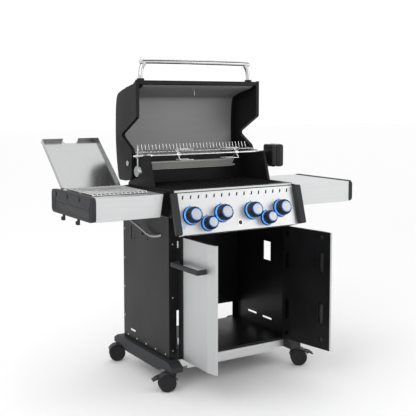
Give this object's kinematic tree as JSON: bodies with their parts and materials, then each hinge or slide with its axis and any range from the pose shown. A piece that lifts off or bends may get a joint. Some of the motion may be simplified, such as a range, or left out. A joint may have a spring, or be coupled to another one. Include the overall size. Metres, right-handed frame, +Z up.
{
  "type": "gas barbecue grill",
  "caption": "Gas barbecue grill on a closed cart with hinged lid, rotisserie spit, side burner, side shelves, two doors and swivel castors.",
  "frame": {"origin": "middle of the footprint at floor level", "axes": "+X to the right seen from the front, +Y to the back, +Z up"},
  "size_m": [1.448, 0.9384, 1.5042],
  "materials": {
    "black_enamel": "semi-gloss baked enamel",
    "black_cast": "satin black paint on cast aluminium",
    "black_plastic": "fine moulded grain",
    "caster_plastic": "moulded nylon",
    "rubber": "matte tread",
    "knob_plastic": "satin with a metal cap",
    "stainless": "horizontal brushing",
    "burner_steel": "plain mill finish",
    "chrome": "polished",
    "galvanised": "dull zinc",
    "cast_iron": "seasoned matte",
    "burner_ceramic": "perforated heat-proof plate",
    "hose_rubber": "smooth grey"
  },
  "bodies": {
    "cart": {"side_panel_left": "black_enamel", "side_panel_right": "black_enamel", "rear_panel": "black_enamel", "cabinet_floor": "black_enamel", "firebox_tub": "black_enamel", "firebox_side_left": "black_cast", "firebox_side_right": "black_cast", "base_rail_left": "black_plastic", "base_rail_right": "black_plastic", "panel_cap_left": "black_plastic", "panel_cap_right": "black_plastic", "left_end_cap": "black_plastic", "right_end_cap": "black_plastic", "rotisserie_motor": "black_plastic", "front_rail": "stainless", "control_panel": "stainless", "left_shelf": "stainless", "right_shelf": "stainless", "burner_set": "burner_steel", "heat_plates": "burner_steel", "side_burner": "burner_steel", "warming_rack": "chrome", "side_burner_grate": "chrome", "cooking_grid_left": "cast_iron", "cooking_grid_right": "cast_iron", "rear_burner": "burner_ceramic", "side_burner_hose": "hose_rubber"},
    "lid": {"lid_shell": "black_enamel", "lid_liner": "stainless", "lid_cap_left": "black_cast", "lid_cap_right": "black_cast", "lid_handle": "chrome", "thermometer": "stainless"},
    "side_lid": {"side_burner_lid": "stainless"},
    "left_door": {"door_left": "stainless", "door_handle_left": "black_plastic"},
    "right_door": {"door_right": "stainless", "door_handle_right": "black_plastic"},
    "knob_burner_1_body": {"knob_burner_1": "knob_plastic"},
    "knob_side_burner_body": {"knob_side_burner": "knob_plastic"},
    "knob_burner_2_body": {"knob_burner_2": "knob_plastic"},
    "knob_burner_3_body": {"knob_burner_3": "knob_plastic"},
    "knob_rear_burner_body": {"knob_rear_burner": "knob_plastic"},
    "knob_burner_4_body": {"knob_burner_4": "knob_plastic"},
    "button": {"ignition_button": "black_plastic"},
    "caster_front_left": {"caster_fork_front_left": "caster_plastic"},
    "wheel_front_left": {"caster_wheel_front_left": "rubber"},
    "brake_front_left": {"brake_lever_front_left": "caster_plastic"},
    "caster_front_right": {"caster_fork_front_right": "caster_plastic"},
    "wheel_front_right": {"caster_wheel_front_right": "rubber"},
    "brake_front_right": {"brake_lever_front_right": "caster_plastic"},
    "caster_rear_left": {"caster_fork_rear_left": "caster_plastic"},
    "wheel_rear_left": {"caster_wheel_rear_left": "rubber"},
    "caster_rear_right": {"caster_fork_rear_right": "caster_plastic"},
    "wheel_rear_right": {"caster_wheel_rear_right": "rubber"},
    "spit": {"spit_rod": "chrome", "counterweight": "galvanised"},
    "fork_left": {"spit_fork_left": "chrome"},
    "fork_right": {"spit_fork_right": "chrome"},
    "tray": {"grease_tray": "galvanised"}
  },
  "joints": [
    {"name": "lid_hinge", "type": "hinge", "parent": "cart", "child": "lid", "pos_m": [0, 0.22626, 1.002], "axis": [1, 0, 0], "range_deg": [0, 90]},
    {"name": "side_lid_hinge", "type": "hinge", "parent": "cart", "child": "side_lid", "pos_m": [-0.5515, 0.21026, 0.902], "axis": [1, 0, 0], "range_deg": [0, 140]},
    {"name": "left_door_hinge", "type": "hinge", "parent": "cart", "child": "left_door", "pos_m": [-0.301, -0.16974, 0.42], "axis": [0, 0, 1], "range_deg": [-10, 90]},
    {"name": "right_door_hinge", "type": "hinge", "parent": "cart", "child": "right_door", "pos_m": [0.301, -0.16974, 0.42], "axis": [0, 0, 1], "range_deg": [-100, 0]},
    {"name": "knob_burner_1_turn", "type": "hinge", "parent": "cart", "child": "knob_burner_1_body", "pos_m": [-0.261, -0.21128, 0.7912], "axis": [0, -0.9617, 0.274], "range_deg": [0, 180]},
    {"name": "knob_side_burner_turn", "type": "hinge", "parent": "cart", "child": "knob_side_burner_body", "pos_m": [-0.179, -0.22251, 0.75177], "axis": [0, -0.9617, 0.274], "range_deg": [0, 180]},
    {"name": "knob_burner_2_turn", "type": "hinge", "parent": "cart", "child": "knob_burner_2_body", "pos_m": [-0.097, -0.21128, 0.7912], "axis": [0, -0.9617, 0.274], "range_deg": [0, 180]},
    {"name": "knob_burner_3_turn", "type": "hinge", "parent": "cart", "child": "knob_burner_3_body", "pos_m": [0.069, -0.21128, 0.7912], "axis": [0, -0.9617, 0.274], "range_deg": [0, 180]},
    {"name": "knob_rear_burner_turn", "type": "hinge", "parent": "cart", "child": "knob_rear_burner_body", "pos_m": [0.1485, -0.22251, 0.75177], "axis": [0, -0.9617, 0.274], "range_deg": [0, 180]},
    {"name": "knob_burner_4_turn", "type": "hinge", "parent": "cart", "child": "knob_burner_4_body", "pos_m": [0.235, -0.21128, 0.7912], "axis": [0, -0.9617, 0.274], "range_deg": [0, 180]},
    {"name": "ignition_press", "type": "slide", "parent": "cart", "child": "button", "axis": [0, 0.9617, -0.274], "range_m": [0, 0.003], "stiffness_N_per_m": 400},
    {"name": "swivel_front_left", "type": "hinge", "parent": "cart", "child": "caster_front_left", "pos_m": [-0.338, -0.18774, 0.088], "axis": [0, 0, 1], "continuous": true},
    {"name": "roll_front_left", "type": "hinge", "parent": "caster_front_left", "child": "wheel_front_left", "pos_m": [-0.36698, -0.17997, 0.04], "axis": [-0.2588, -0.9659, 0], "continuous": true},
    {"name": "brake_front_left_press", "type": "hinge", "parent": "caster_front_left", "child": "brake_front_left", "pos_m": [-0.41141, -0.16807, 0.067], "axis": [-0.2588, -0.9659, 0], "range_deg": [0, 10]},
    {"name": "swivel_front_right", "type": "hinge", "parent": "cart", "child": "caster_front_right", "pos_m": [0.338, -0.18774, 0.088], "axis": [0, 0, 1], "continuous": true},
    {"name": "roll_front_right", "type": "hinge", "parent": "caster_front_right", "child": "wheel_front_right", "pos_m": [0.36398, -0.20274, 0.04], "axis": [0.5, 0.866, 0], "continuous": true},
    {"name": "brake_front_right_press", "type": "hinge", "parent": "caster_front_right", "child": "brake_front_right", "pos_m": [0.40382, -0.22574, 0.067], "axis": [0.5, 0.866, 0], "range_deg": [0, 10]},
    {"name": "swivel_rear_left", "type": "hinge", "parent": "cart", "child": "caster_rear_left", "pos_m": [-0.338, 0.32926, 0.088], "axis": [0, 0, 1], "continuous": true},
    {"name": "roll_rear_left", "type": "hinge", "parent": "caster_rear_left", "child": "wheel_rear_left", "pos_m": [-0.36619, 0.33952, 0.04], "axis": [-0.342, -0.9397, 0], "continuous": true},
    {"name": "swivel_rear_right", "type": "hinge", "parent": "cart", "child": "caster_rear_right", "pos_m": [0.338, 0.32926, 0.088], "axis": [0, 0, 1], "continuous": true},
    {"name": "roll_rear_right", "type": "hinge", "parent": "caster_rear_right", "child": "wheel_rear_right", "pos_m": [0.36541, 0.31706, 0.04], "axis": [0.4067, 0.9135, 0], "continuous": true},
    {"name": "spit_turn", "type": "hinge", "parent": "cart", "child": "spit", "pos_m": [0, 0.08626, 1.045], "axis": [1, 0, 0], "continuous": true},
    {"name": "fork_left_slide", "type": "slide", "parent": "spit", "child": "fork_left", "axis": [1, 0, 0], "range_m": [-0.12, 0.06]},
    {"name": "fork_right_slide", "type": "slide", "parent": "spit", "child": "fork_right", "axis": [1, 0, 0], "range_m": [-0.06, 0.1]},
    {"name": "grease_tray_slide", "type": "slide", "parent": "cart", "child": "tray", "axis": [0, 1, 0], "range_m": [0, 0.25]}
  ]
}
